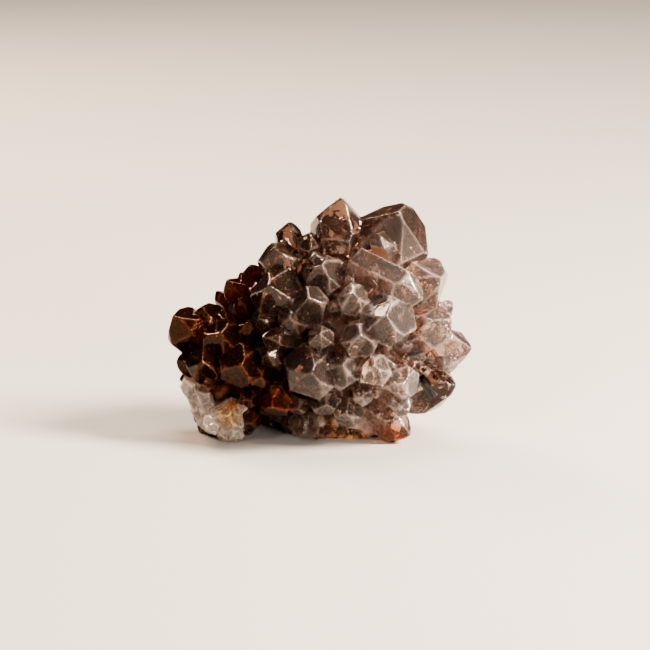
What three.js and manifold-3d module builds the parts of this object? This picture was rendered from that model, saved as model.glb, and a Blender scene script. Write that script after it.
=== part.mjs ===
// Smoky quartz on matrix: two intergrown clusters of quartz points, with milky and iron-stained
// crystals beside them, on a lump of iron-stained rock that is cut flat underneath.
// Millimetres, +Z up, the show side towards -Y, the origin under the middle of the specimen.
import * as THREE from "three";
import { mergeVertices } from "three/addons/utils/BufferGeometryUtils.js";
import Module from "manifold-3d";

const wasm = await Module();
wasm.setup();

// Driving dimensions
const GAP = 0.3; // between pieces that grew against each other
const CRUST = 3; // massive quartz over the matrix, which the points grow out of
const FLOOR_CLEARANCE = 0.15; // crystals end this far above the face that the matrix rests on
const FACES = 6; // prism faces of a quartz crystal, and pyramid faces at its tip
const PYRAMID_ANGLE = THREE.MathUtils.degToRad(51.8); // from the long axis to a pyramid face's normal
const MINOR_SETBACK = 0.09; // every other pyramid face stands this far out, as a share of the width
const FACE_SPREAD = 0.18; // how unevenly the faces have grown, as a share of the width
const BLOCK_SPARE = 3; // rough block that a crystal is cut from, in crystal widths

// The layout is drawn as the specimen is seen from the front, from VIEW_TILT above level:
// [x to the right, h up the picture, y away from the viewer].
const VIEW_TILT = THREE.MathUtils.degToRad(12);
const FRONT_FOOT = -8; // the depth at which the bottom of the picture meets the surface below

function seen([x, h, y]) {
  const rise = (y - FRONT_FOOT) * Math.sin(VIEW_TILT);
  return new THREE.Vector3(x, y, (h - rise) / Math.cos(VIEW_TILT));
}

// Repeatable random numbers from 0 to 1
function seededRandom(seed) {
  let state = seed;
  return () => {
    state = (state + 0x6d2b79f5) | 0;
    let t = Math.imul(state ^ (state >>> 15), 1 | state);
    t = (t + Math.imul(t ^ (t >>> 7), 61 | t)) ^ t;
    return ((t ^ (t >>> 14)) >>> 0) / 4294967296;
  };
}

// Solids from three.js geometry, and back
function solidFrom(geometry) {
  const bare = geometry.clone();
  bare.deleteAttribute("normal");
  bare.deleteAttribute("uv");
  const merged = mergeVertices(bare, 1e-4);
  const mesh = new wasm.Mesh({
    numProp: 3,
    vertProperties: merged.attributes.position.array,
    triVerts: new Uint32Array(merged.index.array),
  });
  return new wasm.Manifold(mesh);
}

function geometryFrom(solid) {
  const mesh = solid.getMesh();
  const geometry = new THREE.BufferGeometry();
  geometry.setAttribute("position", new THREE.BufferAttribute(mesh.vertProperties, 3));
  geometry.setIndex(new THREE.BufferAttribute(mesh.triVerts, 1));
  return geometry;
}

function join(solids) {
  return solids.reduce((whole, next) => whole.add(next));
}

function largestBody(solid) {
  return solid.decompose().reduce((a, b) => (b.volume() > a.volume() ? b : a));
}

// One quartz point: a block cut by six prism faces and six pyramid faces at the mineral's own
// angles, each a little nearer or further out than the ideal. grow moves every face outwards.
function quartzPoint({ tip, root, across, spin }, grow) {
  const random = seededRandom(Math.round(1000 * across + 77 * tip.x + 13 * tip.z));
  const uneven = () => (random() - 0.5) * FACE_SPREAD * across;
  const length = tip.distanceTo(root) + grow;
  let solid = solidFrom(new THREE.BoxGeometry(BLOCK_SPARE * across, BLOCK_SPARE * across, 2 * length));
  for (let i = 0; i < FACES; i++) {
    const angle = THREE.MathUtils.degToRad(spin) + (i * 2 * Math.PI) / FACES;
    const out = new THREE.Vector3(Math.cos(angle), Math.sin(angle), 0);
    const up = new THREE.Vector3(0, 0, 1);
    const slope = out.clone().multiplyScalar(Math.sin(PYRAMID_ANGLE));
    slope.addScaledVector(up, Math.cos(PYRAMID_ANGLE));
    const setback = i % 2 ? MINOR_SETBACK * across : 0;
    solid = solid.trimByPlane(out.negate().toArray(), -(across / 2 + uneven() + grow));
    solid = solid.trimByPlane(slope.negate().toArray(), -(setback + uneven() / 2 + grow));
  }
  const axis = tip.clone().sub(root).normalize();
  const turn = new THREE.Quaternion().setFromUnitVectors(new THREE.Vector3(0, 0, 1), axis);
  const place = new THREE.Matrix4().compose(tip, turn, new THREE.Vector3(1, 1, 1));
  return solid.transform(place.elements);
}

function seenPoint({ tip, root, across, spin }) {
  return { tip: seen(tip), root: seen(root), across, spin };
}

// Points that show from the front, one by one
const RIGHT_POINTS = [
  // Along the top
  { tip: [4.6, 60.6, -1], root: [4.2, 36, 9], across: 12.5, spin: 20 },
  { tip: [20, 57, -7], root: [15.8, 41, 12], across: 16, spin: 8 },
  { tip: [14.2, 51.7, -9], root: [18, 42.5, -1], across: 5.5, spin: 0 },
  { tip: [11.5, 50, -5], root: [11, 41, 5], across: 5, spin: 30 },
  { tip: [-7.8, 54.6, 2], root: [-7, 40, 9], across: 6.8, spin: 10 },
  { tip: [-11, 48.2, -6], root: [-7.5, 38, 7], across: 10.5, spin: 25 },
  { tip: [-2.7, 51.7, -4], root: [-3.5, 41, 5], across: 5.5, spin: 5 },
  { tip: [-1, 46.8, -9], root: [-0.8, 40, 0], across: 3.8, spin: 40 },
  // Across the middle
  { tip: [-12.4, 38.6, -14], root: [-7, 34, 2], across: 12.5, spin: 15 },
  { tip: [0.6, 43.5, -13], root: [2, 36, 2], across: 10.5, spin: 0 },
  { tip: [-3.2, 35.6, -18], root: [-0.8, 31, -2], across: 9.5, spin: 35 },
  { tip: [-7.6, 30.5, -17], root: [-5.5, 28, -2], across: 7, spin: 12 },
  { tip: [8.4, 36.6, -20], root: [7.4, 31, -4], across: 8, spin: 20 },
  { tip: [25.3, 34.6, -17], root: [9, 43, -6], across: 11, spin: 0 },
  { tip: [16.6, 31.6, -25], root: [15.5, 28, -6], across: 12.5, spin: 10 },
  // Down the right side
  { tip: [30.3, 40.9, -9], root: [20, 38, 5], across: 12.5, spin: 0 },
  { tip: [33.4, 33.8, -6], root: [27, 32, 0], across: 4.2, spin: 20 },
  { tip: [32.3, 30.5, -13], root: [20, 25, -3], across: 9, spin: 30 },
  { tip: [37.7, 23, -10], root: [23, 23.6, -1], across: 10.5, spin: 10 },
  { tip: [33.6, 13.4, -9], root: [20, 15.4, 2], across: 12.5, spin: 25 },
  { tip: [20.6, 14, -21], root: [18.5, 16.5, -4], across: 8, spin: 0 },
  // Along the bottom
  { tip: [22.5, 1.8, -12], root: [9.5, 8.6, -3], across: 9, spin: 0 },
  { tip: [22, 7.6, -16], root: [16, 12.6, -6], across: 6, spin: 15 },
  { tip: [6.6, 7, -18.5], root: [6.6, 9, -3], across: 7.5, spin: 20 },
  { tip: [10.3, 11, -20], root: [10.3, 12, -6], across: 4.5, spin: 0 },
  { tip: [1.4, 9.2, -19], root: [0.9, 11.4, -4], across: 6.5, spin: 30 },
  { tip: [-5.4, 8.3, -17], root: [-5, 11.4, -4], across: 5, spin: 10 },
  { tip: [-4, 1.8, -13], root: [-3.8, 7, -3], across: 7, spin: 20 },
  // Facing the viewer
  { tip: [-2, 17.6, -26.5], root: [-2.3, 16.6, -6], across: 12.5, spin: 12 },
  { tip: [5.7, 19, -24], root: [6, 15, -4], across: 8.5, spin: 0 },
  { tip: [13.3, 19, -24.5], root: [12.6, 15.4, -5], across: 8, spin: 25 },
  { tip: [10.1, 26.2, -25], root: [8.2, 24, -6], across: 8.5, spin: 40 },
  { tip: [0, 26.9, -22], root: [1, 22, -6], across: 6.5, spin: 0 },
  { tip: [-14.3, 25.7, -14], root: [-3, 24, -8], across: 5.5, spin: 10 },
  { tip: [-13.2, 21.8, -17], root: [-8, 18.6, -4], across: 5, spin: 0 },
  { tip: [-15.4, 30.6, -9], root: [-8, 27, 1], across: 5, spin: 20 },
  { tip: [-12.1, 8.3, -17], root: [-8, 14, -3], across: 8.5, spin: 15 },
].map(seenPoint);
const LEFT_POINTS = [
  { tip: [-19.2, 19.2, -19.5], root: [-21, 17.6, -2], across: 11, spin: 10 },
  { tip: [-24.6, 27.3, -13], root: [-25, 21, 3], across: 9.5, spin: 0 },
  { tip: [-29, 20, -15], root: [-26.5, 17, 0], across: 9.5, spin: 25 },
  { tip: [-36.8, 31.4, -6], root: [-25, 22, 4], across: 10, spin: 15 },
  { tip: [-29, 34, -4], root: [-26, 22, 6], across: 8.5, spin: 0 },
  { tip: [-24.5, 33, -2], root: [-24, 22, 6], across: 6.5, spin: 20 },
  { tip: [-35.6, 20, -5], root: [-26, 18, 3], across: 6.5, spin: 20 },
  { tip: [-28.7, 14.3, -16.5], root: [-26, 14.8, -2], across: 4.5, spin: 0 },
  { tip: [-17.7, 30, -7], root: [-20, 20, 2], across: 4.4, spin: 20 },
  { tip: [-14.4, 16.2, -18], root: [-18, 15, -4], across: 5, spin: 30 },
  { tip: [-17, 10.6, -16], root: [-19, 12, -2], across: 4.4, spin: 0 },
  { tip: [-16.5, 4.4, -13], root: [-18, 8, -1], across: 4, spin: 10 },
].map(seenPoint);
const MILKY_POINTS = [
  { tip: [-26, 1.6, -11], root: [-30.8, 14, -2], across: 6.2, spin: 10 },
  { tip: [-22.3, 6.4, -15], root: [-23, 8, 0], across: 8, spin: 0 },
  { tip: [-22, 0.4, -12], root: [-22.5, 6, 0], across: 7, spin: 20 },
  { tip: [-34.2, 15.6, -5], root: [-28, 10, 2], across: 5, spin: 0 },
  { tip: [-32, 9, -6], root: [-26, 8, 2], across: 5, spin: 15 },
].map(seenPoint);
const STAINED_POINTS = [
  { tip: [-17.2, 44.4, 5], root: [-15, 32, 10], across: 5.5, spin: 0 },
  { tip: [-20, 42.4, 9], root: [-15, 31, 11], across: 4, spin: 20 },
  { tip: [-23.6, 40.2, 4], root: [-14, 31, 10], across: 6.5, spin: 10 },
  { tip: [-26.4, 37.6, 9], root: [-18, 28, 9], across: 4, spin: 30 },
  { tip: [-20, 35.6, -1], root: [-16, 28, 8], across: 5.5, spin: 5 },
  { tip: [-15.6, 39.4, -1], root: [-15, 31, 8], across: 4.5, spin: 40 },
  { tip: [-24.6, 36, 12], root: [-15, 27, 10], across: 6, spin: 15 },
].map(seenPoint);

// Points scattered over a dome, away from its bare stretch: evenly spread directions, each tip
// near the dome's surface
const GOLDEN_ANGLE = Math.PI * (3 - Math.sqrt(5));

function scatter({ centre, radii, count, across, reach, depth, seed, keep }) {
  const random = seededRandom(seed);
  const between = ([low, high]) => low + random() * (high - low);
  const points = [];
  for (let i = 0; i < count; i++) {
    const rise = 1 - (2 * i + 1) / count;
    const angle = i * GOLDEN_ANGLE;
    const level = Math.sqrt(1 - rise * rise);
    const way = new THREE.Vector3(Math.cos(angle) * level, Math.sin(angle) * level, rise);
    const size = between(across);
    const far = between(reach);
    const spin = between([0, 60]);
    if (!keep(way)) continue;
    const at = (share) => way.clone().multiply(radii).multiplyScalar(share).add(centre);
    points.push({ tip: at(far), root: at(far * depth), across: size, spin });
  }
  return points;
}

const RIGHT_DOME = {
  centre: new THREE.Vector3(9, 3, 25),
  radii: new THREE.Vector3(27, 25, 32),
};
const LEFT_DOME = {
  centre: new THREE.Vector3(-25, 4, 15),
  radii: new THREE.Vector3(11.5, 14, 17),
};
const RIGHT_BACK = scatter({
  ...RIGHT_DOME,
  count: 92,
  across: [5, 9],
  reach: [0.82, 0.98],
  depth: 0.45,
  seed: 11,
  keep: ({ x, y, z }) => y > 0.12 - 0.25 * x && y < 0.8 && z > -0.45 - 0.3 * x && x > -0.75,
});
const RIGHT_SMALL = scatter({
  ...RIGHT_DOME,
  count: 104,
  across: [3, 4.5],
  reach: [0.74, 0.84],
  depth: 0.5,
  seed: 12,
  keep: ({ y, z }) => y < 0.1 && z > -0.75,
});
const LEFT_BACK = scatter({
  ...LEFT_DOME,
  count: 52,
  across: [3.5, 6],
  reach: [0.8, 0.98],
  depth: 0.4,
  seed: 13,
  keep: ({ x, y, z }) => y > -0.3 && y < 0.7 && z > -0.3 && x < 0.5,
});

// Matrix: lumps of rock, each an uneven ball stretched along the three axes, broken flat behind
const ROCK_LUMPS = [
  { centre: [8, 8, 24], radii: [20, 14, 23], seed: 1 },
  { centre: [-23, 7, 13], radii: [9, 10, 13], seed: 2 },
  { centre: [-8, 8, 18], radii: [16, 12, 18], seed: 3 },
  { centre: [4.5, 5.5, 3.5], radii: [16, 13, 7], seed: 4 },
  { centre: [-23.5, 3, 3.5], radii: [7.5, 8.5, 7], seed: 5 },
  { centre: [-16, 10, 30], radii: [8, 7, 8], seed: 6 },
];
const ROCK_DETAIL = 3; // how finely an icosahedron's edges are divided
const ROCK_UNEVEN = 0.08; // bumps, as a share of a lump's radius
const BREAKS = [
  { normal: [0.15, 1, 0.1], reach: 19.5 },
  { normal: [0.75, 1, -0.1], reach: 22 },
  { normal: [-0.9, 1, 0.2], reach: 24 },
  { normal: [0.1, 1, 1.1], reach: 38 },
  { normal: [-0.4, 1, -0.5], reach: 12.6 },
  { normal: [0.5, 1, -0.45], reach: 16.9 },
];

function rockLump({ centre, radii, seed }, grow) {
  const ball = new THREE.IcosahedronGeometry(1, ROCK_DETAIL);
  const points = ball.attributes.position;
  const p = new THREE.Vector3();
  for (let i = 0; i < points.count; i++) {
    p.fromBufferAttribute(points, i).normalize();
    const broad = Math.sin(5 * p.x + 2 * seed) * Math.sin(6 * p.y + seed);
    const fine = Math.sin(9 * p.z + 3 * seed + 4 * p.x) / 2;
    const reach = 1 + ROCK_UNEVEN * (broad + fine);
    points.setXYZ(
      i,
      centre[0] + p.x * (radii[0] * reach + grow),
      centre[1] + p.y * (radii[1] * reach + grow),
      centre[2] + p.z * (radii[2] * reach + grow),
    );
  }
  return solidFrom(ball);
}

function rock(grow) {
  let solid = join(ROCK_LUMPS.map((lump) => rockLump(lump, grow)));
  for (const { normal, reach } of BREAKS) {
    const inwards = new THREE.Vector3(...normal).normalize().negate();
    solid = solid.trimByPlane(inwards.toArray(), -(reach + grow));
  }
  return solid.trimByPlane([0, 0, 1], -grow);
}

// A cluster is its points and, under them, a crust of massive quartz over a lump of the matrix.
// The crust stops short of the matrix's bare back and of the cleft between the two clusters.
const CRUST_BACK = 3; // how far back the crusts reach
const CLEFT = [-15, -11.5]; // the stretch of x between the crusts

function cluster(points, grow) {
  const solids = points.map((point) => quartzPoint(point, grow));
  return join(solids).trimByPlane([0, 0, 1], FLOOR_CLEARANCE - grow);
}

function crust(lump) {
  const layer = rockLump(lump, CRUST);
  return layer.trimByPlane([0, -1, 0], -CRUST_BACK).trimByPlane([0, 0, 1], FLOOR_CLEARANCE);
}

const matrix = rock(0);
const matrixSpace = rock(GAP);
const rightPoints = [...RIGHT_POINTS, ...RIGHT_BACK, ...RIGHT_SMALL];
const leftPoints = [...LEFT_POINTS, ...LEFT_BACK];
const rightSpace = cluster(rightPoints, GAP);
const leftSpace = cluster(leftPoints, GAP);
const besideSpace = cluster([...MILKY_POINTS, ...STAINED_POINTS], GAP);

const rightCrust = crust(ROCK_LUMPS[0]).trimByPlane([1, 0, 0], CLEFT[1]);
const leftCrust = crust(ROCK_LUMPS[1]).trimByPlane([-1, 0, 0], -CLEFT[0]).subtract(besideSpace);
const rightWhole = cluster(rightPoints, 0).add(rightCrust);
const leftWhole = cluster(leftPoints, 0).add(leftCrust);
const rightCluster = largestBody(rightWhole.subtract(matrixSpace));
const leftCluster = largestBody(leftWhole.subtract(matrixSpace).subtract(rightSpace));
const milkyCrystals = largestBody(
  cluster(MILKY_POINTS, 0).subtract(matrixSpace).subtract(leftSpace).subtract(rightSpace),
);
const stainedCrystals = largestBody(
  cluster(STAINED_POINTS, 0).subtract(matrixSpace).subtract(leftSpace).subtract(rightSpace),
);

const PIECES = [
  { name: "matrix", solid: matrix, colour: 0x7a3f1d, roughness: 0.9 },
  { name: "right_cluster", solid: rightCluster, colour: 0xa58a7c, roughness: 0.15 },
  { name: "left_cluster", solid: leftCluster, colour: 0x5c3b2a, roughness: 0.15 },
  { name: "milky_crystals", solid: milkyCrystals, colour: 0xd8cdc4, roughness: 0.35 },
  { name: "stained_crystals", solid: stainedCrystals, colour: 0x7c3316, roughness: 0.3 },
];

const pieces = new THREE.Group();
for (const { name, solid, colour, roughness } of PIECES) {
  const finish = new THREE.MeshStandardMaterial({ color: colour, roughness, metalness: 0 });
  const piece = new THREE.Mesh(geometryFrom(solid), finish);
  piece.name = name;
  pieces.add(piece);
}

// The origin goes under the middle of the specimen, at the level that it rests on
const box = new THREE.Box3().setFromObject(pieces);
const middle = box.getCenter(new THREE.Vector3());
pieces.position.set(-middle.x, -middle.y, -box.min.z);

const specimen = new THREE.Group();
specimen.add(pieces);

export default specimen;
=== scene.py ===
# %% [markdown]
# Smoky quartz on matrix
#
# This lesson dresses a hand-sized mineral specimen. Two clusters of smoky quartz points grow out of
# a lump of iron-stained rock, with milky crystals at the left foot and red-brown crystals behind.
# The frame already holds every crystal at its true place, with flat faces and knife-sharp edges.
# What is left for Blender is what the eye reads as quartz: worn edges, cloudy roots, cracks that
# flash inside the stone, smoky colour that deepens with thickness, and rough rock underneath.

# %% Load the frame
import math

import bmesh
import bpy
import numpy as np
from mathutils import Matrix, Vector, noise
from mathutils.bvhtree import BVHTree
from mathutils.kdtree import KDTree


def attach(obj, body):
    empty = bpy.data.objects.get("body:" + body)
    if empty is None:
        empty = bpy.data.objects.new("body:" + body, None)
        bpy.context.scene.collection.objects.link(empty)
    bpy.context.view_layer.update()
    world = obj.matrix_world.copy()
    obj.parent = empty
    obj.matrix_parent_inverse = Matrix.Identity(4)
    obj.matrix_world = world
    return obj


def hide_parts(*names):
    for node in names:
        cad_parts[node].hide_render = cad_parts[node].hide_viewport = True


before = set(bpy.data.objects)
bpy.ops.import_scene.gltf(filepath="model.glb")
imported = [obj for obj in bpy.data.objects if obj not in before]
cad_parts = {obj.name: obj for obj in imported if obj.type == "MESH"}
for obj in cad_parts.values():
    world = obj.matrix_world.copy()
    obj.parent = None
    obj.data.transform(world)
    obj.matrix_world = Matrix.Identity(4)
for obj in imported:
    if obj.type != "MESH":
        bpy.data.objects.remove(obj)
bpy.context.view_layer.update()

MM = 0.001
print("nodes:", ", ".join(sorted(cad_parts)))

# %% [markdown]
# A few small helpers serve every step. Colours are picked as sRGB hex values, as a paint program
# shows them, and the renderer works in linear light, so one function converts them. A node is added
# by one call that sets its properties, its input values and its links, which keeps a long material
# readable from top to bottom.

# %% Helpers for colours, nodes and objects
def linear(hex_colour):
    """Turn an sRGB hex colour into linear RGBA, by the formula of the sRGB standard."""
    channels = [int(hex_colour[i:i + 2], 16) / 255 for i in (1, 3, 5)]
    bent = [c / 12.92 if c <= 0.04045 else ((c + 0.055) / 1.055) ** 2.4 for c in channels]
    return (*bent, 1.0)


def add_node(tree, kind, inputs=None, **settings):
    """Add a node with its settings. An input that is a socket is linked, any other is a value."""
    node = tree.nodes.new(kind)
    for name, value in settings.items():
        setattr(node, name, value)
    for name, value in (inputs or {}).items():
        if isinstance(value, bpy.types.NodeSocket):
            tree.links.new(value, node.inputs[name])
        else:
            node.inputs[name].default_value = value
    return node


def new_material(name):
    """A new material, with its node tree and its shader."""
    material = bpy.data.materials.new(name)
    material.use_nodes = True
    return material, material.node_tree, material.node_tree.nodes["Principled BSDF"]


def add_object(name, data):
    """Put a mesh, a lamp or a camera into the scene as an object."""
    thing = bpy.data.objects.new(name, data)
    bpy.context.scene.collection.objects.link(thing)
    return thing


print("a milky white in linear light:", [round(c, 3) for c in linear("#e8e0d8")])

# %% [markdown]
# The camera stands in front of the specimen and looks down on it by 12 degrees. Specimens are
# photographed with a long lens from some way off, which keeps the crystals' edges parallel, so a
# 200 mm lens is placed where the picture spans 162.5 mm at the specimen.

# %% Camera
VIEW_TILT = math.radians(12)
PICTURE_SPAN = 162.5 * MM
AIM = Vector((1.4, 2.44, 27.95)) * MM
LENS_LENGTH = 200
SENSOR_WIDTH = 36

lens = bpy.data.cameras.new("camera")
lens.lens = LENS_LENGTH
lens.sensor_width = SENSOR_WIDTH
camera = add_object("camera", lens)
stand_off = PICTURE_SPAN * LENS_LENGTH / SENSOR_WIDTH
towards_camera = Vector((0, -math.cos(VIEW_TILT), math.sin(VIEW_TILT)))
camera.location = AIM + towards_camera * stand_off
camera.rotation_euler = (-towards_camera).to_track_quat("-Z", "Y").to_euler()
bpy.context.scene.camera = camera
print("camera stands", round(stand_off / MM), "mm away")

# %% [markdown]
# The stage is a pale floor, large enough that its edge never shows. One face does it, because
# matt paper has no shape of its own: it only takes the shadow and throws light back up.

# %% Floor
FLOOR_SIZE = 6.0
PAPER_ROUGHNESS = 0.7

half = FLOOR_SIZE / 2
floor_mesh = bpy.data.meshes.new("floor")
floor_corners = [(-half, -half, 0), (half, -half, 0), (half, half, 0), (-half, half, 0)]
floor_mesh.from_pydata(floor_corners, [], [(0, 1, 2, 3)])
floor = add_object("floor", floor_mesh)

# Matt paper: no highlights, so nothing on the floor competes with the crystals
paper, _, paper_shader = new_material("pale_matt_paper")
paper_shader.inputs["Base Color"].default_value = linear("#c8c2ba")
paper_shader.inputs["Roughness"].default_value = PAPER_ROUGHNESS
floor_mesh.materials.append(paper)
print("floor is", FLOOR_SIZE, "m wide")

# %% [markdown]
# Crystal needs light from several sides. A softbox from the upper right makes the broad white
# flashes on the faces, a low wide one in front fills the shadows, a narrow one behind at the left
# puts a rim on the dark lobe, a small one at the front left adds glints, and a wide one above
# lights the tips. The surroundings stay dim, because clear crystal shows only what it bends towards
# the eye: it needs dark to set off the light.

# %% Lights
SOFTBOXES = {
    "key": {"at": (0.62, -0.18, 0.50), "size": (0.26, 0.26), "watts": 28, "colour": "#fff2e4"},
    "front": {"at": (0.42, -0.95, 0.24), "size": (0.40, 0.25), "watts": 7.5, "colour": "#fff8f2"},
    "rim": {"at": (-0.40, 0.60, 0.45), "size": (0.20, 0.50), "watts": 8, "colour": "#ffdcbc"},
    "glint": {"at": (-0.42, -0.70, 0.52), "size": (0.12, 0.12), "watts": 2.5, "colour": "#fff4ea"},
    "top": {"at": (0.15, 0.35, 0.90), "size": (0.60, 0.40), "watts": 8, "colour": "#fffaf4"},
}
for name, box in SOFTBOXES.items():
    light = bpy.data.lights.new(name, "AREA")
    light.shape = "RECTANGLE"
    light.size, light.size_y = box["size"]
    light.energy = box["watts"]
    light.color = linear(box["colour"])[:3]
    lamp = add_object(name, light)
    lamp.location = box["at"]
    lamp.rotation_euler = (AIM - lamp.location).to_track_quat("-Z", "Y").to_euler()
print("softboxes:", ", ".join(SOFTBOXES))

# %% Dim surroundings
SURROUNDINGS = 0.06

world = bpy.data.worlds.new("dim_studio")
world.use_nodes = True
backdrop = world.node_tree.nodes["Background"]
backdrop.inputs["Color"].default_value = linear("#c8c6c4")
backdrop.inputs["Strength"].default_value = SURROUNDINGS
bpy.context.scene.world = world
bpy.context.scene.view_settings.look = "AgX - Medium High Contrast"
print("surroundings have strength", SURROUNDINGS)

# %% [markdown]
# A quartz edge is never a mathematical line. It is chipped and rubbed into a rounding of a few
# tenths of a millimetre, and that rounding catches the light as a thin bright rim. A Bevel modifier
# fails here, because the clusters are full of slivers where crystals run into each other. So each
# mesh is split into small triangles, and the points on and beside every outer ridge are pulled
# towards their neighbours: the flat faces stay flat, and only the ridges wear down.

# %% Split a cluster into small triangles
MERGE = 0.002 * MM
RIDGE = math.radians(12)
SPLIT_ROUNDS = 6


def split_copy(node, fine, coarse):
    """A merged copy of a node's mesh: edges at a ridge get shorter than fine, others than coarse."""
    bm = bmesh.new()
    bm.from_mesh(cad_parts[node].data)
    bmesh.ops.remove_doubles(bm, verts=bm.verts, dist=MERGE)
    for _ in range(SPLIT_ROUNDS):
        for vert in bm.verts:
            vert.tag = False
        for edge in bm.edges:
            if edge.calc_face_angle_signed(0) > RIDGE:
                edge.verts[0].tag = edge.verts[1].tag = True
        long_edges = [
            e for e in bm.edges
            if e.calc_length() > (fine if e.verts[0].tag or e.verts[1].tag else coarse)
        ]
        bmesh.ops.subdivide_edges(bm, edges=long_edges, cuts=1)
        bmesh.ops.triangulate(bm, faces=[f for f in bm.faces if len(f.verts) > 3])
    return bm


print("an edge counts as a ridge from", round(math.degrees(RIDGE)), "degrees")

# %% Measure and soften ridges
WEAR_REACH = 0.9 * MM
# The hazy band inside each rim is a painted highlight
RIM_HAZE_AND_HIGHLIGHT_REACH = 2.4 * MM


def neighbour_mean(places, pairs):
    """The mean place of each point's neighbours."""
    total = np.zeros_like(places)
    count = np.zeros(len(places))
    for a, b in ((0, 1), (1, 0)):
        np.add.at(total, pairs[:, a], places[pairs[:, b]])
        np.add.at(count, pairs[:, a], 1)
    return total / np.maximum(count, 1)[:, None]


def distance_to(places, chosen):
    """How far each place is from the nearest of the chosen ones."""
    nearby = KDTree(len(chosen))
    for i in chosen:
        nearby.insert(places[i], int(i))
    nearby.balance()
    return np.array([nearby.find(place)[2] for place in places])


def keep_on_points(mesh, name, values):
    """Keep one number on each point of a mesh, where a material can read it."""
    mesh.attributes.new(name, "FLOAT", "POINT").data.foreach_set("value", values)


print("wear reaches", WEAR_REACH / MM, "mm from a ridge, and the hazy rim", RIM_HAZE_AND_HIGHLIGHT_REACH / MM, "mm")

# %% Wear the edges of a cluster
WEAR_PASSES = 3


def worn_piece(node, name, fine, coarse, wear):
    """A new object: the node's crystals with worn ridges and, on each point, how worn it is."""
    bm = split_copy(node, fine, coarse)
    bm.verts.index_update()
    pairs = np.array([[v.index for v in e.verts] for e in bm.edges])
    angles = np.array([e.calc_face_angle_signed(0) for e in bm.edges])
    for edge, angle in zip(bm.edges, angles):
        edge.smooth = bool(angle > -RIDGE)
    for face in bm.faces:
        face.smooth = True
    mesh = bpy.data.meshes.new(name)
    bm.to_mesh(mesh)
    bm.free()

    places = np.array([v.co for v in mesh.vertices], dtype=float)
    ridge_points = np.unique(pairs[angles > RIDGE])
    off_ridge = distance_to(places, ridge_points)
    worn = np.clip(1 - off_ridge / WEAR_REACH, 0, 1)
    for _ in range(WEAR_PASSES):
        places += (wear * worn)[:, None] * (neighbour_mean(places, pairs) - places)
    mesh.vertices.foreach_set("co", places.ravel())
    keep_on_points(mesh, "wear", worn)
    # Painted highlight: the rim ramp makes a pale hazy band inside each ridge
    keep_on_points(mesh, "rim", np.clip(1 - off_ridge / RIM_HAZE_AND_HIGHLIGHT_REACH, 0, 1))
    mesh.update()
    print(name, len(mesh.polygons), "triangles,", len(ridge_points), "points on ridges")
    return add_object(name, mesh)


right_points = worn_piece("right_cluster", "right_points", fine=0.5 * MM, coarse=1.8 * MM, wear=0.5)
left_points = worn_piece("left_cluster", "left_points", fine=0.45 * MM, coarse=1.2 * MM, wear=0.5)
milky_points = worn_piece("milky_crystals", "milky_points", fine=0.4 * MM, coarse=0.7 * MM, wear=0.6)
stained_points = worn_piece("stained_crystals", "stained_points", fine=0.45 * MM, coarse=1 * MM, wear=0.5)

# %% [markdown]
# The milky crystals at the left foot are corroded: their faces are broken up into small tilted chips.
# Bump in the material could draw them, but the outline would stay smooth, so the points themselves
# move. A Voronoi pattern splits space into cells, and each cell gets a plane with a lean of its own,
# so a surface pushed out by it turns into facets. The rock further down is broken in the same way.

# %% Corrode the milky crystals
MILKY_CHIP = 1.7 * MM
MILKY_DEPTH = 0.7 * MM
LEAN_SPREAD = 40


def chip_height(place, width):
    """A height that turns every Voronoi cell of that width into a tilted flat chip."""
    spot = place / width
    nearest = noise.voronoi(spot)[1][0]
    lean = noise.cell_vector(nearest * LEAN_SPREAD) - Vector((0.5, 0.5, 0.5))
    return (spot - nearest).dot(lean)


milky_verts = milky_points.data.vertices
chipped = np.array([v.co + v.normal * MILKY_DEPTH * chip_height(v.co, MILKY_CHIP) for v in milky_verts])
chipped[:, 2] = np.maximum(chipped[:, 2], 0)
milky_verts.foreach_set("co", chipped.ravel())
milky_points.data.update()
print("chips on the milky crystals are", MILKY_CHIP / MM, "mm wide")

# %% [markdown]
# Crystals are cloudy where they took root and clear at their tips. The clouds could be painted by
# hand, but a distance does it better: how far a point is from the rock is measured once and kept on
# the point, and the materials read it from there.

# %% How near each point is to the rock
ROOT_REACH = 9 * MM


def surface_tree(mesh):
    """A search tree over a mesh's faces, which finds the nearest one and casts rays."""
    return BVHTree.FromPolygons([v.co for v in mesh.vertices], [p.vertices for p in mesh.polygons])


rock_surface = surface_tree(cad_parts["matrix"].data)
for piece in (right_points, left_points, milky_points, stained_points):
    gaps = np.array([rock_surface.find_nearest(v.co)[3] for v in piece.data.vertices])
    nearness = np.clip(1 - gaps / ROOT_REACH, 0, 1)
    keep_on_points(piece.data, "root", nearness)
    print(piece.name, "mean nearness to the rock", round(float(nearness.mean()), 2))

# %% [markdown]
# Natural quartz is full of cracks. Each is a film of air in the stone, thin as a hair and a few
# millimetres wide, and it flashes like a mirror when the light strikes it at a slant. A pattern in
# the material can't flash, so a crack is built as what it is: a flat, wavy void inside the crystal.
# It starts from a point below a face and spreads in a plane until it nears the crystal's own
# surface, which a ray cast finds.

# %% Shape of one crack
CRACK_SIDES = 12
CRACK_INNER = 0.5
CRACK_GAPE = 0.06 * MM
CRACK_WAVE = 0.25 * MM
WAVE_WIDTH = 1.5 * MM


def spokes(axis, count):
    """Unit vectors square to an axis, evenly spread round it."""
    first = axis.orthogonal().normalized()
    second = axis.cross(first)
    turns = [2 * math.pi * k / count for k in range(count)]
    return [first * math.cos(turn) + second * math.sin(turn) for turn in turns]


def crack_ring(bm, centre, normal, arms, share, lift):
    """A ring of points at a share of the crack's arms, on the sheet above or below the gap."""
    gape = lift * CRACK_GAPE * (1 - share * share)
    ring = []
    for arm in arms:
        spot = centre + arm * share
        wave = CRACK_WAVE * share * noise.noise(spot / WAVE_WIDTH)
        ring.append(bm.verts.new(spot + normal * (wave + gape)))
    return ring


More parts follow.
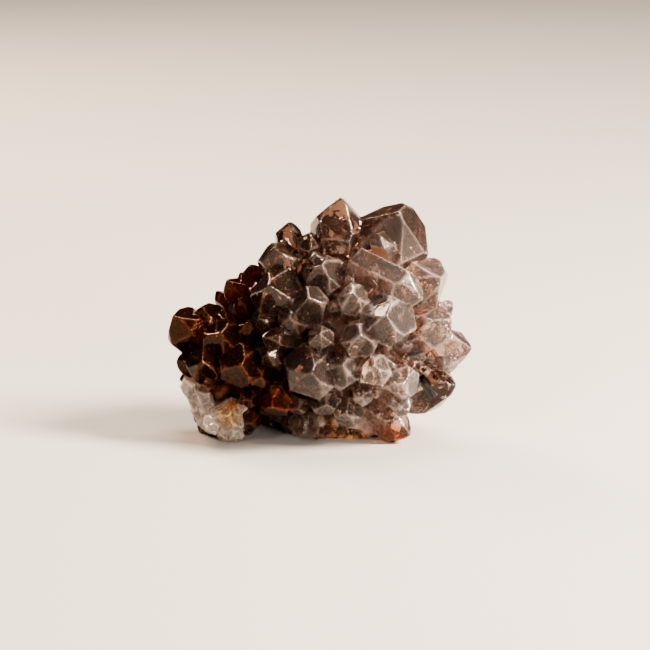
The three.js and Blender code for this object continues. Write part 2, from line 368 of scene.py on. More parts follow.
def add_crack(bm, centre, normal, arms):
    """Add one void: two wavy sheets that meet at the rim and face into the gap."""
    outer = crack_ring(bm, centre, normal, arms, share=1, lift=0)
    for lift in (1, -1):
        middle = bm.verts.new(centre + normal * lift * CRACK_GAPE)
        inner = crack_ring(bm, centre, normal, arms, CRACK_INNER, lift)
        for k in range(CRACK_SIDES):
            j = (k + 1) % CRACK_SIDES
            for corners in ([middle, inner[k], inner[j]], [inner[k], outer[k], outer[j], inner[j]]):
                face = bm.faces.new(corners if lift < 0 else corners[::-1])
                face.smooth = True


print("a crack has", CRACK_SIDES, "sides and gapes by", 2 * CRACK_GAPE / MM, "mm")

# %% Cracks inside the crystals
CRACK_MARGIN = 0.5 * MM
CRACK_LEAST = 0.5 * MM
CRACK_DEPTHS = (0.3, 1.1)
CRACK_SPREAD = (0.5, 1)
CRACK_TRIES = 4


def crack_rims(solid, centre, sides, reach, rng):
    """How far a crack spreads along each side before it nears the crystal's surface."""
    rims = []
    for side in sides:
        room = solid.ray_cast(centre, side)[3] or 0
        rims.append(min(reach * rng.uniform(*CRACK_SPREAD), room - CRACK_MARGIN))
    return rims


def crack(piece, count, reach, seed):
    """Spread cracks through a piece's crystals, below faces chosen by their area."""
    rng = np.random.default_rng(seed)
    mesh = piece.data
    solid = surface_tree(mesh)
    areas = np.array([p.area for p in mesh.polygons])
    bm = bmesh.new()
    bm.from_mesh(mesh)
    made = 0
    for face_index in rng.choice(len(areas), count * CRACK_TRIES, p=areas / areas.sum()):
        if made == count:
            break
        face = mesh.polygons[face_index]
        centre = face.center - face.normal * rng.uniform(*CRACK_DEPTHS) * reach
        normal = Vector(rng.normal(size=3)).normalized()
        spot, out, _, depth = solid.find_nearest(centre)
        if (centre - spot).dot(out) > 0 or depth < CRACK_MARGIN:
            continue
        sides = spokes(normal, CRACK_SIDES)
        rims = crack_rims(solid, centre, sides, reach * rng.uniform(*CRACK_SPREAD), rng)
        if min(rims) > CRACK_LEAST:
            add_crack(bm, centre, normal, [side * rim for side, rim in zip(sides, rims)])
            made += 1
    bm.to_mesh(mesh)
    bm.free()
    print(piece.name, "has", made, "cracks up to", reach / MM, "mm long on each side")


crack(right_points, count=120, reach=4 * MM, seed=21)
crack(right_points, count=280, reach=1.8 * MM, seed=23)
crack(left_points, count=30, reach=3 * MM, seed=22)
crack(left_points, count=60, reach=1.5 * MM, seed=24)
crack(milky_points, count=120, reach=1.6 * MM, seed=25)

# %% [markdown]
# Smoky quartz is silica tinted brown by natural radiation. Its faces are glassy, with an index of
# refraction of 1.544, and the brown deepens with the thickness that light passes through, which a
# volume absorption gives. Glass alone would look like a bottle, though. Roots and worn edges scatter
# light, so there the surface turns rougher and partly white, and a band just inside each rim is made
# rougher and paler too, a painted highlight for the bright rims. The first cell works out where.

# %% Where quartz is cloudy, and where its rims get a painted highlight
CLOUD_WIDTH = 4 * MM
MILK_RAMP = (0.2, 0.55)
MOST_MILK = 0.55
FROST_RAMP = (0.3, 0.7)
MOST_FROST = 0.75
RIM_HAZE_AND_HIGHLIGHT_RAMP = (0.34, 0.62)
LIMPID_AT = (27.5, -6.5, 13.5)
LIMPID_RAMP = (4.5 * MM, 9 * MM)


def cloudiness_and_rim_highlight(tree, place, chips, most_rim_haze_and_highlight):
    """How much cloud and painted rim highlight quartz has at a place, and whether it is outside the limpid
    crystal.
    """
    clouds = add_node(
        tree, "ShaderNodeTexNoise", {"Vector": place, "Scale": 1 / CLOUD_WIDTH, "Detail": 4.0}
    ).outputs["Fac"]
    # Clouds break up the milky root and the painted-highlight rim, and chips break up the frost on the
    # edges
    layers = []
    for part, pattern, (low, high), most, blend in (
        ("root", clouds, MILK_RAMP, MOST_MILK, "SMOOTHSTEP"),
        ("wear", chips, FROST_RAMP, MOST_FROST, "LINEAR"),
        # This row is a painted highlight: a pale hazy band just inside each rim
        ("rim", clouds, RIM_HAZE_AND_HIGHLIGHT_RAMP, most_rim_haze_and_highlight, "SMOOTHSTEP"),
    ):
        amount = add_node(tree, "ShaderNodeAttribute", attribute_name=part).outputs["Fac"]
        patchy = add_node(tree, "ShaderNodeMath", {0: amount, 1: pattern}, operation="MULTIPLY")
        layer = add_node(
            tree,
            "ShaderNodeMapRange",
            {"Value": patchy.outputs[0], "From Min": low, "From Max": high, "To Max": most},
            interpolation_type=blend,
        )
        layers.append(layer.outputs[0])
    milk, frost, rim_haze_and_highlight = layers
    frost_and_rim_highlight = add_node(tree, "ShaderNodeMath", {0: rim_haze_and_highlight, 1: frost}, operation="MAXIMUM").outputs[0]
    veil_and_rim_highlight = add_node(tree, "ShaderNodeMath", {0: milk, 1: frost_and_rim_highlight}, operation="MAXIMUM").outputs[0]
    # The crystal at the lower right is limpid, so the clouds thin out round its middle
    off_limpid = add_node(
        tree, "ShaderNodeVectorMath", {0: place, 1: Vector(LIMPID_AT) * MM}, operation="DISTANCE"
    )
    outside = add_node(
        tree,
        "ShaderNodeMapRange",
        {"Value": off_limpid.outputs["Value"], "From Min": LIMPID_RAMP[0], "From Max": LIMPID_RAMP[1]},
        interpolation_type="SMOOTHSTEP",
    ).outputs[0]
    cloud_and_rim_highlight = add_node(tree, "ShaderNodeMath", {0: veil_and_rim_highlight, 1: outside}, operation="MULTIPLY").outputs[0]
    return cloud_and_rim_highlight, outside


print("clouds in the quartz are", CLOUD_WIDTH / MM, "mm wide")

# %% [markdown]
# The colour of the large cluster isn't even. It is darker at the left and at the top, partly
# smoky quartz and partly painted shade, and almost colourless at the right, and iron has stained a
# few spots. Two ramps along the specimen's own axes give the smoky tint and the painted shade, and
# each stain is a soft ball of colour round a chosen point.

# %% Smoke, painted shade and stains
SMOKE_AND_SHADE_FADES = (-14 * MM, 22 * MM)
SMOKY_SHADED_TOP = (42 * MM, 54 * MM)
SHADED_TOP_PALENESS = 0.3
STAIN_CORE = 0.3


def smoke_and_shade_colour(tree, place, smoke_and_shade, glaze):
    """The smoky colour at the left and the top, partly painted shade, turning into the glaze colour at the
    right.
    """
    spot = add_node(tree, "ShaderNodeSeparateXYZ", {0: place})
    rightward = add_node(
        tree,
        "ShaderNodeMapRange",
        {"Value": spot.outputs["X"], "From Min": SMOKE_AND_SHADE_FADES[0], "From Max": SMOKE_AND_SHADE_FADES[1]},
        interpolation_type="SMOOTHSTEP",
    )
    below_top = add_node(
        tree,
        "ShaderNodeMapRange",
        {
            "Value": spot.outputs["Z"],
            "From Min": SMOKY_SHADED_TOP[1],
            "From Max": SMOKY_SHADED_TOP[0],
            "To Min": SHADED_TOP_PALENESS,
        },
        interpolation_type="SMOOTHSTEP",
    )
    paleness = add_node(
        tree, "ShaderNodeMath", {0: rightward.outputs[0], 1: below_top.outputs[0]}, operation="MULTIPLY"
    )
    return add_node(
        tree,
        "ShaderNodeMix",
        {0: paleness.outputs[0], 6: linear(smoke_and_shade), 7: linear(glaze)},
        data_type="RGBA",
    ).outputs[2]


def add_stains(tree, place, tint, stains):
    """Lay soft balls of colour over a tint. Centres and radii are in millimetres."""
    for centre, radius, hue in stains:
        away = add_node(
            tree, "ShaderNodeVectorMath", {0: place, 1: Vector(centre) * MM}, operation="DISTANCE"
        )
        reach = radius * MM
        film = add_node(
            tree,
            "ShaderNodeMapRange",
            {"Value": away.outputs["Value"], "From Min": reach, "From Max": STAIN_CORE * reach},
            interpolation_type="SMOOTHSTEP",
        )
        tint = add_node(
            tree, "ShaderNodeMix", {0: film.outputs[0], 6: tint, 7: linear(hue)}, data_type="RGBA"
        ).outputs[2]
    return tint


print("smoke fades over", round((SMOKE_AND_SHADE_FADES[1] - SMOKE_AND_SHADE_FADES[0]) / MM), "mm")

# %% [markdown]
# All four kinds of quartz here share one build, so one function makes them: colour, clarity, gloss
# and relief all follow the cloudiness and the painted rim highlight, and the absorption inside is
# constant. The floor is pale, and its mirror image would turn dark faces grey, so the reflection is
# toned down by a constant tint.

# %% Quartz
QUARTZ_IOR = 1.544
CHIP_WIDTH = 0.6 * MM
HILL_WIDTH = 1.5 * MM
CLOUDY_CLARITY = 0.45
GLOSS = (0.03, 0.35)
SUGAR = 3.0
RIPPLE = {"Strength": 0.25, "Distance": 0.15 * MM}


def quartz(name, *, smoke_and_shade, glaze, cloud, absorbed, density, clear, most_rim_haze_and_highlight, shine, stains=()):
    """Clear quartz with milky roots, frosted edges and a painted highlight inside each rim, smokier and
    darker by painted shade towards the left and top.
    """
    material, tree, shader = new_material(name)
    place = add_node(tree, "ShaderNodeTexCoord").outputs["Object"]
    chips = add_node(
        tree, "ShaderNodeTexNoise", {"Vector": place, "Scale": 1 / CHIP_WIDTH, "Detail": 2.0}
    ).outputs["Fac"]
    cloud_and_rim_highlight, outside_limpid = cloudiness_and_rim_highlight(tree, place, chips, most_rim_haze_and_highlight)

    # The body colour holds painted shade: darker towards the left and the top
    body = smoke_and_shade_colour(tree, place, smoke_and_shade, glaze)
    milk = add_node(
        tree, "ShaderNodeMix", {0: 1.0, 6: body, 7: linear(cloud)}, data_type="RGBA", blend_type="MULTIPLY"
    )
    colour = add_node(tree, "ShaderNodeMix", {0: cloud_and_rim_highlight, 6: body, 7: milk.outputs[2]}, data_type="RGBA")
    core = add_node(tree, "ShaderNodeMapRange", {"Value": outside_limpid, "To Min": 1.0, "To Max": clear})
    clarity = add_node(
        tree,
        "ShaderNodeMapRange",
        {"Value": cloud_and_rim_highlight, "To Min": core.outputs[0], "To Max": clear * CLOUDY_CLARITY},
    )
    gloss = add_node(
        tree, "ShaderNodeMapRange", {"Value": cloud_and_rim_highlight, "To Min": GLOSS[0], "To Max": GLOSS[1]}
    )
    # Growth hillocks make the faces ripple, and cloudy quartz is sugary as well
    hills = add_node(tree, "ShaderNodeTexNoise", {"Vector": place, "Scale": 1 / HILL_WIDTH, "Detail": 3.0})
    sugar = add_node(tree, "ShaderNodeMath", {0: cloud_and_rim_highlight, 1: chips}, operation="MULTIPLY")
    relief = add_node(
        tree,
        "ShaderNodeMath",
        {0: sugar.outputs[0], 1: SUGAR, 2: hills.outputs["Fac"]},
        operation="MULTIPLY_ADD",
    )
    ripple = add_node(tree, "ShaderNodeBump", {"Height": relief.outputs[0], **RIPPLE})

    tree.links.new(add_stains(tree, place, colour.outputs[2], stains), shader.inputs["Base Color"])
    tree.links.new(clarity.outputs[0], shader.inputs["Transmission Weight"])
    tree.links.new(gloss.outputs[0], shader.inputs["Roughness"])
    tree.links.new(ripple.outputs[0], shader.inputs["Normal"])
    shader.inputs["IOR"].default_value = QUARTZ_IOR
    shader.inputs["Specular Tint"].default_value = linear(shine)
    inside = add_node(tree, "ShaderNodeVolumeAbsorption", {"Color": linear(absorbed), "Density": density})
    tree.links.new(inside.outputs[0], tree.nodes["Material Output"].inputs["Volume"])
    return material


print("light travels", QUARTZ_IOR, "times slower in quartz than in air")

# %% Four finishes of quartz
RUST = "#c05824"
HONEY = "#f0c48c"
COLOURLESS = "#ecf0f4"
RIGHT_STAINS = [
    ((-11.3, -11.5, 10.0), 8, RUST),
    ((17.6, -9.6, 1.5), 7, RUST),
    (LIMPID_AT, 12, COLOURLESS),
]
MILKY_STAINS = [((-22.7, -11.6, 8.0), 6, HONEY), ((-20.6, -10.6, 12.0), 4, RUST)]

# Pale smoky quartz of the large cluster: brown glass with hazy rims, partly a painted highlight, darker
# at the left and top, partly by painted shade, and rusty at two places of its foot
smoky = quartz(
    "smoky_quartz",
    smoke_and_shade="#80624f", glaze="#f4e4da", cloud="#f4e6dc", absorbed="#ceb3a1", density=160.0,
    clear=0.945, most_rim_haze_and_highlight=0.44, shine="#d4ccc6", stains=RIGHT_STAINS,
)
# Deep smoky quartz of the left lobe: almost black where it is thick, orange-brown where it is thin
dark_smoky = quartz(
    "dark_smoky_quartz",
    smoke_and_shade="#a86440", glaze="#a86440", cloud="#c09078", absorbed="#b06a3a", density=520.0,
    clear=0.98, most_rim_haze_and_highlight=0.1, shine="#c89a7c",
)
# Milky quartz: white from countless tiny bubbles, honey-coloured in the middle crystal
milky = quartz(
    "milky_quartz",
    smoke_and_shade="#fdeadb", glaze="#fdeadb", cloud="#fff6ec", absorbed="#f0d8c0", density=50.0,
    clear=0.8, most_rim_haze_and_highlight=0.5, shine="#ffffff", stains=MILKY_STAINS,
)
# Quartz under a film of iron oxide: red-brown all through, and glowing where light passes
stained = quartz(
    "iron_stained_quartz",
    smoke_and_shade="#8a3c1c", glaze="#8a3c1c", cloud="#c08060", absorbed="#a03c18", density=620.0,
    clear=0.9, most_rim_haze_and_highlight=0.2, shine="#c08868",
)
for piece, finish in (
    (right_points, smoky),
    (left_points, dark_smoky),
    (milky_points, milky),
    (stained_points, stained),
):
    piece.data.materials.append(finish)
    print(piece.name, "is", finish.name, "of", len(finish.node_tree.nodes), "nodes")

# %% [markdown]
# One crystal at the lower right holds a dark, grooved rod, a needle of another mineral that the quartz
# grew round. A plain cylinder would have no grooves. So it is a ring of points that alternate between
# two radii, drawn out along the needle's axis and closed at both ends: the ring's dents become the
# lengthwise grooves.

# %% Dark rod in the quartz
ROD_ENDS = (Vector((25.2, -5.8, 16.5)) * MM, Vector((28.6, -4.4, 11.5)) * MM)
ROD_RADII = (1.1 * MM, 0.88 * MM)
ROD_POINTS = 16

rod_arms = [
    spoke * ROD_RADII[k % 2]
    for k, spoke in enumerate(spokes((ROD_ENDS[1] - ROD_ENDS[0]).normalized(), ROD_POINTS))
]
rod_spots = [end + arm for end in ROD_ENDS for arm in rod_arms]
rod_faces = [tuple(range(ROD_POINTS))[::-1], tuple(range(ROD_POINTS, 2 * ROD_POINTS))]
for k in range(ROD_POINTS):
    j = (k + 1) % ROD_POINTS
    rod_faces.append((k, j, j + ROD_POINTS, k + ROD_POINTS))
rod_mesh = bpy.data.meshes.new("dark_rod")
rod_mesh.from_pydata(rod_spots, [], rod_faces)
dark_rod = add_object("dark_rod", rod_mesh)
print("rod is", round((ROD_ENDS[1] - ROD_ENDS[0]).length / MM, 1), "mm long")

# %% Rod finish
SCRATCH_WIDTH = 0.5 * MM
SCRATCH_RAMP = (0.55, 0.75)
ROD_ROUGHNESS = 0.3

# Black tourmaline: glossy along its grooves, with faint pale scratches
tourmaline, rod_tree, rod_shader = new_material("black_tourmaline")
rod_place = add_node(rod_tree, "ShaderNodeTexCoord").outputs["Object"]
scratches = add_node(
    rod_tree, "ShaderNodeTexNoise", {"Vector": rod_place, "Scale": 1 / SCRATCH_WIDTH, "Detail": 3.0}
)
scratched = add_node(
    rod_tree,
    "ShaderNodeMapRange",
    {"Value": scratches.outputs["Fac"], "From Min": SCRATCH_RAMP[0], "From Max": SCRATCH_RAMP[1]},
)
black = add_node(
    rod_tree,
    "ShaderNodeMix",
    {0: scratched.outputs[0], 6: linear("#060505"), 7: linear("#3a3530")},
    data_type="RGBA",
)
rod_tree.links.new(black.outputs[2], rod_shader.inputs["Base Color"])
rod_shader.inputs["Roughness"].default_value = ROD_ROUGHNESS
rod_mesh.materials.append(tourmaline)
print("rod is", tourmaline.name, "with scratches", SCRATCH_WIDTH / MM, "mm wide")

# %% [markdown]
# The matrix is the broken rock that the quartz grew on. Rock breaks in steps: broad swells, then
# flat chips of several sizes. A Displace modifier could push the surface out, but the sole has to
# stay flat and the seams with the crystals calm, so each point is moved in code. First comes how bare
# the rock is at each point, from the distance to the nearest crystal. The druse and the finish read
# it later.

# %% Where the rock is bare
ROCK_STEP = 0.65 * MM
BARE_BEYOND = (0.8 * MM, 2.5 * MM)
CRYSTAL_NODES = ("right_cluster", "left_cluster", "milky_crystals", "stained_crystals")

crystal_surfaces = [surface_tree(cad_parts[node].data) for node in CRYSTAL_NODES]
rock_bm = split_copy("matrix", ROCK_STEP, ROCK_STEP)
rock_bm.normal_update()
bareness = []
for vert in rock_bm.verts:
    gap = min(surface.find_nearest(vert.co)[3] for surface in crystal_surfaces)
    share = (gap - BARE_BEYOND[0]) / (BARE_BEYOND[1] - BARE_BEYOND[0])
    bareness.append(min(max(share, 0), 1))
print("the rock is", round(100 * float(np.mean(bareness))), "% bare")

# %% [markdown]
# Where rock and crystals meet, they are fused with no air between. A film of air would mirror like
# the cracks do, so covered rock swells by half a millimetre into the crystals.

# %% Break the rock
ROCK_SWELL = 0.5 * MM
ROCK_BROAD = 0.6 * MM
BROAD_WIDTH = 6 * MM
BROAD_FRACTAL = (0.8, 2.0, 4)
ROCK_CHIPS = ((7 * MM, 4.0 * MM), (2.6 * MM, 1.6 * MM), (1.1 * MM, 0.6 * MM))
COVERED_CHIPS = 0.2
SOLE = 0.3 * MM
SOLE_SHARE = 0.3
ROCK_ARRIS = math.radians(30)

moves = []
for vert, bare in zip(rock_bm.verts, bareness):
    chips = sum(depth * chip_height(vert.co, width) for width, depth in ROCK_CHIPS)
    swell = ROCK_SWELL * (1 - bare)
    broad = ROCK_BROAD * noise.fractal(vert.co / BROAD_WIDTH, *BROAD_FRACTAL)
    chip_share = COVERED_CHIPS + (1 - COVERED_CHIPS) * bare
    moves.append(vert.normal * (swell + broad + chip_share * chips))
for vert, move in zip(rock_bm.verts, moves):
    on_sole = vert.co.z < SOLE
    vert.co += move * (SOLE_SHARE if on_sole else 1)
    vert.co.z = 0 if on_sole else max(vert.co.z, 0)
for face in rock_bm.faces:
    face.smooth = True
rock_mesh = bpy.data.meshes.new("rock")
rock_bm.to_mesh(rock_mesh)
rock_bm.free()
rock_mesh.set_sharp_from_angle(angle=ROCK_ARRIS)
keep_on_points(rock_mesh, "bare", bareness)
rock = add_object("rock", rock_mesh)
print("rock:", len(rock_mesh.polygons), "triangles")

# %% [markdown]
# The rock is stained by iron: umber and brown where it broke, ochre where it has weathered at the
# front of the foot. Under the pale cluster the stain gives way to milky quartz, the bed that the
# points took root in, and that bed is what shows through them; its near-black patches are painted
# shade, which shows through the crystals as dark cores. Left of the cleft it stays dark, as painted
# shade for the deep cleft. The stains are mixed from two noises of different size, because one
# alone looks like paint.

# %% Tones of the rock
ROCK_SPREADS = {
    "blotch": {"width": 5 * MM, "detail": 6.0, "ramp": (0.36, 0.64)},
    "speckle": {"width": 1 * MM, "detail": 4.0, "ramp": (0.35, 0.65)},
}
ROCK_TONES = {
    "umber": ("blotch", "#100805", "#3c241a"),
    "brown": ("blotch", "#2e1c14", "#6e4e3c"),
    "ochre": ("speckle", "#7a3810", "#f0a860"),
    # The bed's near-black patches are painted shade that shows through the crystals as dark cores
    "bed_and_core_shade": ("blotch", "#180a06", "#c8ac9a"),
}

# Iron-stained rock: dull and earthy, with a tooth of sand-sized grains of which some glint
stone, stone_tree, stone_shader = new_material("iron_stained_rock")
stone_place = add_node(stone_tree, "ShaderNodeTexCoord").outputs["Object"]
spreads = {}
for spread, look in ROCK_SPREADS.items():
    patches = add_node(
        stone_tree,
        "ShaderNodeTexNoise",
        {"Vector": stone_place, "Scale": 1 / look["width"], "Detail": look["detail"]},
    )
    spreads[spread] = add_node(
        stone_tree,
        "ShaderNodeMapRange",
        {"Value": patches.outputs["Fac"], "From Min": look["ramp"][0], "From Max": look["ramp"][1]},
    ).outputs[0]
tones = {}
for tone, (spread, dark, pale) in ROCK_TONES.items():
    tones[tone] = add_node(
        stone_tree,
        "ShaderNodeMix",
        {0: spreads[spread], 6: linear(dark), 7: linear(pale)},
        data_type="RGBA",
    ).outputs[2]
print("tones of the rock:", ", ".join(tones))

# %% Broken and weathered rock
SEAM_SPACING = 4 * MM
SEAM_WIDTH = 0.08
SEAM_DARKNESS = 0.35
OCHRE_FOOT = Vector((8, -11, 1)) * MM
OCHRE_REACH = 12 * MM
OCHRE_CORE = 6 * MM

blocks = add_node(
    stone_tree,
    "ShaderNodeMix",
    {0: spreads["speckle"], 6: tones["umber"], 7: tones["brown"]},
    data_type="RGBA",
)
# Dark seams part the rock into blocks
seams = add_node(
    stone_tree,
    "ShaderNodeTexVoronoi",
    {"Vector": stone_place, "Scale": 1 / SEAM_SPACING},
    feature="DISTANCE_TO_EDGE",
)
seam = add_node(
    stone_tree,
    "ShaderNodeMapRange",
    {"Value": seams.outputs["Distance"], "From Max": SEAM_WIDTH, "To Min": SEAM_DARKNESS},
)
broken = add_node(
    stone_tree,
    "ShaderNodeMix",
    {0: 1.0, 6: blocks.outputs[2], 7: seam.outputs[0]},
    data_type="RGBA",
    blend_type="MULTIPLY",
)
foot_gap = add_node(
    stone_tree, "ShaderNodeVectorMath", {0: stone_place, 1: OCHRE_FOOT}, operation="DISTANCE"
)
rusty = add_node(
    stone_tree,
    "ShaderNodeMapRange",
    {"Value": foot_gap.outputs["Value"], "From Min": OCHRE_REACH, "From Max": OCHRE_CORE},
    interpolation_type="SMOOTHSTEP",
)
weathered = add_node(
    stone_tree,
    "ShaderNodeMix",
    {0: rusty.outputs[0], 6: broken.outputs[2], 7: tones["ochre"]},
    data_type="RGBA",
)
print("seams part the rock every", SEAM_SPACING / MM, "mm")

# %% Milky bed, painted shade of the cleft, and grains
SHADED_CLEFT = (-11 * MM, -6 * MM)
RAGGEDNESS = 0.5
BED_BORDER = (0.45, 0.75)
GRAIN_WIDTH = 0.7 * MM
GRAIN_TOOTH = {"Strength": 0.6, "Distance": 0.3 * MM}
GRAIN_ROUGHNESS = (0.4, 0.9)

stone_spot = add_node(stone_tree, "ShaderNodeSeparateXYZ", {0: stone_place})
# Painted shade: left of the cleft the rock keeps the dark broken tone, for the deep cleft
right_of_shaded_cleft = add_node(
    stone_tree,
    "ShaderNodeMapRange",
    {"Value": stone_spot.outputs["X"], "From Min": SHADED_CLEFT[0], "From Max": SHADED_CLEFT[1]},
    interpolation_type="SMOOTHSTEP",
)
# The bed's border is ragged: the speckles push it to and fro
bare_here = add_node(stone_tree, "ShaderNodeAttribute", attribute_name="bare").outputs["Fac"]
ragged = add_node(
    stone_tree,
    "ShaderNodeMath",
    {0: spreads["speckle"], 1: RAGGEDNESS, 2: bare_here},
    operation="MULTIPLY_ADD",
)
past_bed = add_node(
    stone_tree,
    "ShaderNodeMapRange",
    {"Value": ragged.outputs[0], "From Min": BED_BORDER[0], "From Max": BED_BORDER[1]},
)
covered = add_node(
    stone_tree,
    "ShaderNodeMix",
    {0: past_bed.outputs[0], 6: tones["bed_and_core_shade"], 7: weathered.outputs[2]},
    data_type="RGBA",
)
# Painted shade of the cleft: dark broken rock at its left, the bed and the ochre at its right
ground_with_cleft_shade = add_node(
    stone_tree,
    "ShaderNodeMix",
    {0: right_of_shaded_cleft.outputs[0], 6: broken.outputs[2], 7: covered.outputs[2]},
    data_type="RGBA",
)
# Sand-sized grains give the broken surface its tooth, and some of them glint
grains = add_node(stone_tree, "ShaderNodeTexVoronoi", {"Vector": stone_place, "Scale": 1 / GRAIN_WIDTH})
tooth = add_node(stone_tree, "ShaderNodeBump", {"Height": grains.outputs["Distance"], **GRAIN_TOOTH})
glint = add_node(
    stone_tree,
    "ShaderNodeMapRange",
    {"Value": grains.outputs["Distance"], "To Min": GRAIN_ROUGHNESS[0], "To Max": GRAIN_ROUGHNESS[1]},
)
stone_tree.links.new(ground_with_cleft_shade.outputs[2], stone_shader.inputs["Base Color"])
stone_tree.links.new(tooth.outputs[0], stone_shader.inputs["Normal"])
stone_tree.links.new(glint.outputs[0], stone_shader.inputs["Roughness"])
rock_mesh.materials.append(stone)
print("rock finish:", len(stone_tree.nodes), "nodes")

# %% [markdown]
# Bare rock in a quartz pocket rarely stays bare: a druse of tiny points covers it in patches. They
# repeat, so Geometry Nodes place them. The tree scatters points over the rock where it is bare,
# stands one six-sided point on each, and varies their size and lean. Realize Instances then turns
# them into plain mesh.

# %% Inputs of the druse tree
druse_tree = bpy.data.node_groups.new("druse", "GeometryNodeTree")
druse_sockets = druse_tree.interface
druse_sockets.new_socket("Geometry", in_out="INPUT", socket_type="NodeSocketGeometry")
for label, kind in (
    ("Spacing", "NodeSocketFloat"),
    ("Smallest", "NodeSocketFloat"),
    ("Largest", "NodeSocketFloat"),
    ("Seed", "NodeSocketInt"),
    ("Finish", "NodeSocketMaterial"),
):
    druse_sockets.new_socket(label, in_out="INPUT", socket_type=kind)
druse_sockets.new_socket("Geometry", in_out="OUTPUT", socket_type="NodeSocketGeometry")
given = add_node(druse_tree, "NodeGroupInput").outputs
print("druse tree has", len(given) - 1, "inputs")

# %% Seats of the druse
PATCH_WIDTH = 7 * MM
PATCH_EDGE = (0.5, 0.58)
ABOVE_SOLE = (1 * MM, 2.2 * MM)
SEATS_PER_M2 = 4.0e6
SUNK_BY = 0.2 * MM

bare_there = add_node(druse_tree, "GeometryNodeInputNamedAttribute", {"Name": "bare"}, data_type="FLOAT")
where = add_node(druse_tree, "GeometryNodeInputPosition").outputs[0]
patchy = add_node(druse_tree, "ShaderNodeTexNoise", {"Vector": where, "Scale": 1 / PATCH_WIDTH})
in_patch = add_node(
    druse_tree,
    "ShaderNodeMapRange",
    {"Value": patchy.outputs[0], "From Min": PATCH_EDGE[0], "From Max": PATCH_EDGE[1]},
)
height = add_node(druse_tree, "ShaderNodeSeparateXYZ", {0: where})
off_sole = add_node(
    druse_tree,
    "ShaderNodeMapRange",
    {"Value": height.outputs["Z"], "From Min": ABOVE_SOLE[0], "From Max": ABOVE_SOLE[1]},
)
chance = bare_there.outputs[0]
for limit in (in_patch, off_sole):
    chance = add_node(
        druse_tree, "ShaderNodeMath", {0: chance, 1: limit.outputs[0]}, operation="MULTIPLY"
    ).outputs[0]
seats = add_node(
    druse_tree,
    "GeometryNodeDistributePointsOnFaces",
    {
        "Mesh": given["Geometry"],
        "Distance Min": given["Spacing"],
        "Density Max": SEATS_PER_M2,
        "Density Factor": chance,
        "Seed": given["Seed"],
    },
    distribute_method="POISSON",
)
rooted = add_node(
    druse_tree, "ShaderNodeVectorMath", {0: seats.outputs["Normal"], 3: -SUNK_BY}, operation="SCALE"
)
sunk = add_node(
    druse_tree, "GeometryNodeSetPosition", {0: seats.outputs["Points"], "Offset": rooted.outputs[0]}
)
print("druse patches are about", PATCH_WIDTH / MM, "mm wide")

# %% One point of the druse
SHAFT_FOOT = 0.5 * MM
SHAFT_TOP = 0.42 * MM
SHAFT_HEIGHT = 1.2 * MM
CAP_HEIGHT = 0.5 * MM
WELD = 0.01 * MM

shaft = add_node(
    druse_tree,
    "GeometryNodeMeshCone",
    {"Vertices": 6, "Radius Top": SHAFT_TOP, "Radius Bottom": SHAFT_FOOT, "Depth": SHAFT_HEIGHT},
)
cap = add_node(
    druse_tree,
    "GeometryNodeMeshCone",
    {"Vertices": 6, "Radius Top": 0.0, "Radius Bottom": SHAFT_TOP, "Depth": CAP_HEIGHT},
    fill_type="NONE",
)
cap_on = add_node(
    druse_tree,
    "GeometryNodeTransform",
    {"Geometry": cap.outputs["Mesh"], "Translation": (0, 0, SHAFT_HEIGHT)},
)
small_point = add_node(druse_tree, "GeometryNodeJoinGeometry", {0: shaft.outputs["Mesh"]})
druse_tree.links.new(cap_on.outputs[0], small_point.inputs[0])
welded = add_node(
    druse_tree, "GeometryNodeMergeByDistance", {"Geometry": small_point.outputs[0], "Distance": WELD}
)
print("a druse point is", round((SHAFT_HEIGHT + CAP_HEIGHT) / MM, 1), "mm high")

# %% Stand the points on their seats
LEAST_LEAN = (-0.6, -0.6, -3.1)
MOST_LEAN = (0.6, 0.6, 3.1)

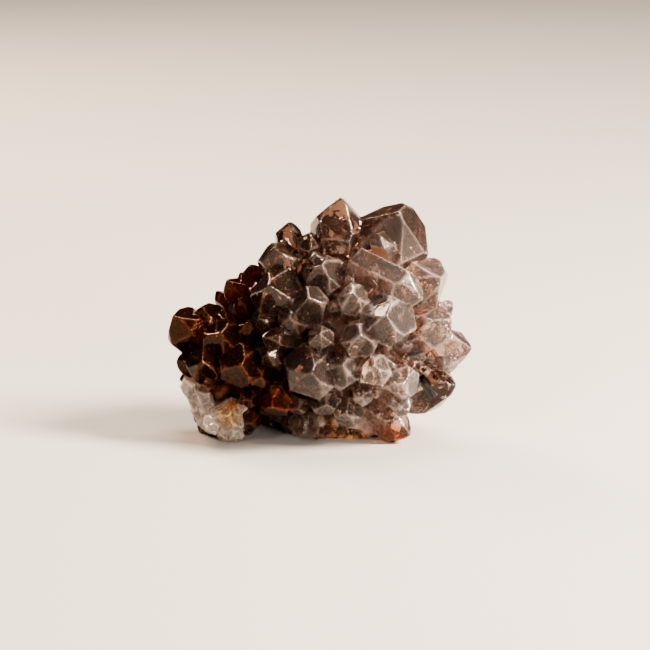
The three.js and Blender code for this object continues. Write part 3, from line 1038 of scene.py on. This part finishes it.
size = add_node(
    druse_tree,
    "FunctionNodeRandomValue",
    {2: given["Smallest"], 3: given["Largest"], "Seed": given["Seed"]},
    data_type="FLOAT",
)
standing = add_node(
    druse_tree,
    "GeometryNodeInstanceOnPoints",
    {
        "Points": sunk.outputs[0],
        "Instance": welded.outputs[0],
        "Rotation": seats.outputs["Rotation"],
        "Scale": size.outputs[1],
    },
)
lean = add_node(
    druse_tree,
    "FunctionNodeRandomValue",
    {0: LEAST_LEAN, 1: MOST_LEAN, "Seed": given["Seed"]},
    data_type="FLOAT_VECTOR",
)
leaning = add_node(
    druse_tree,
    "GeometryNodeRotateInstances",
    {"Instances": standing.outputs[0], "Rotation": lean.outputs[0]},
)
plain = add_node(druse_tree, "GeometryNodeRealizeInstances", {0: leaning.outputs[0]})
finished = add_node(
    druse_tree, "GeometryNodeSetMaterial", {"Geometry": plain.outputs[0], "Material": given["Finish"]}
)
add_node(druse_tree, "NodeGroupOutput", {"Geometry": finished.outputs[0]})
print("druse tree:", len(druse_tree.nodes), "nodes")

# %% Grow the druse on the rock
DRUSE_INPUTS = {"Spacing": 0.6 * MM, "Smallest": 0.5, "Largest": 1.3, "Seed": 5, "Finish": smoky}

druse_seed = add_object("druse_seed", rock_mesh)
growth = druse_seed.modifiers.new("druse", "NODES")
growth.node_group = druse_tree
identifiers = {item.name: item.identifier for item in druse_sockets.items_tree if item.in_out == "INPUT"}
for label, value in DRUSE_INPUTS.items():
    growth[identifiers[label]] = value
view_graph = bpy.context.evaluated_depsgraph_get()
druse_mesh = bpy.data.meshes.new_from_object(druse_seed.evaluated_get(view_graph))
bpy.data.objects.remove(druse_seed)
druse = add_object("druse", druse_mesh)
print("druse:", len(druse_mesh.polygons), "faces")

# %% [markdown]
# The table pairs each new piece with the plain solid that it stands in for and with a finish. Each
# piece is hung on the root, and its solid is hidden. The druse and the rod replace nothing: they are
# extra and ride along.

# %% Hang each piece on the root and hide its solid
for piece, node, slot in (
    (right_points, "right_cluster", "smoky_quartz"),
    (left_points, "left_cluster", "dark_smoky_quartz"),
    (milky_points, "milky_crystals", "milky_quartz"),
    (stained_points, "stained_crystals", "iron_stained_quartz"),
    (rock, "matrix", "iron_stained_rock"),
):
    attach(piece, "root")
    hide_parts(node)
    print(piece.name, "stands in for", node)
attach(druse, "root")
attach(dark_rod, "root")
